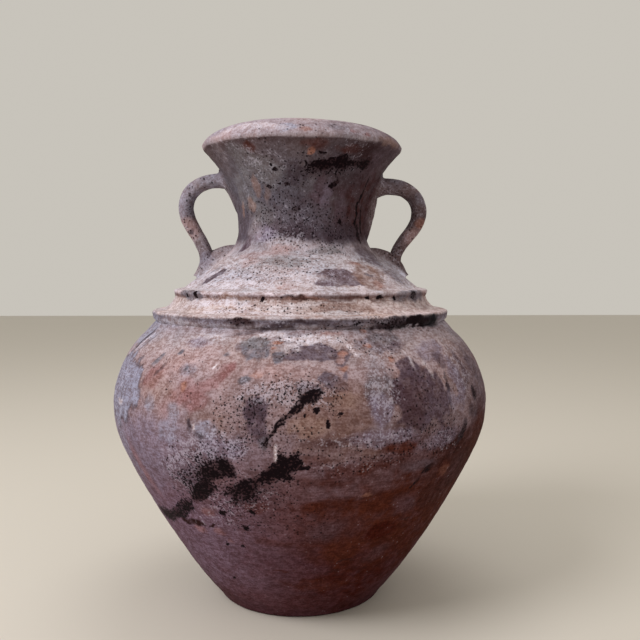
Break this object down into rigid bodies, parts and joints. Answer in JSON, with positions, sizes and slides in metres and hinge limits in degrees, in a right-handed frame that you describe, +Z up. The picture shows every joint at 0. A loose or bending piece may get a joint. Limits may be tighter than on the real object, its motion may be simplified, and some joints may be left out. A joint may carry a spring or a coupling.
{
  "type": "amphora",
  "caption": "Large unglazed clay floor jar with a tapered foot, round belly, ridged shoulder, flared neck, rolled lip and a looped strap handle on each side.",
  "frame": {"origin": "centre of the flat base, on the surface the jar stands on", "axes": "+Z up along the axis that the jar was turned about, X through the two handles, -Y towards the viewer"},
  "size_m": [0.486, 0.486, 0.61],
  "materials": {
    "body_clay": "matt weathered terracotta with lime wash and soot",
    "shoulder_clay": "matt terracotta under a pale pink-grey lime wash",
    "ridge_clay": "matt terracotta, pale on top and dark in the undercut",
    "neck_clay": "matt dark grey-brown terracotta with black splashes",
    "lip_clay": "matt pale lilac lime wash with fine black specks",
    "handle_clay": "matt grey-lilac terracotta, smoothed by hand"
  },
  "bodies": {
    "root": {"base_disc": "body_clay", "lower_wall": "body_clay", "upper_wall": "body_clay", "lower_ridge": "ridge_clay", "collar": "shoulder_clay", "upper_ridge": "ridge_clay", "shoulder": "shoulder_clay", "neck": "neck_clay", "rim_lip": "lip_clay", "left_handle": "handle_clay", "right_handle": "handle_clay", "left_root_tongue": "neck_clay", "right_root_tongue": "neck_clay", "left_foot_skirt": "handle_clay", "right_foot_skirt": "handle_clay"}
  },
  "joints": []
}
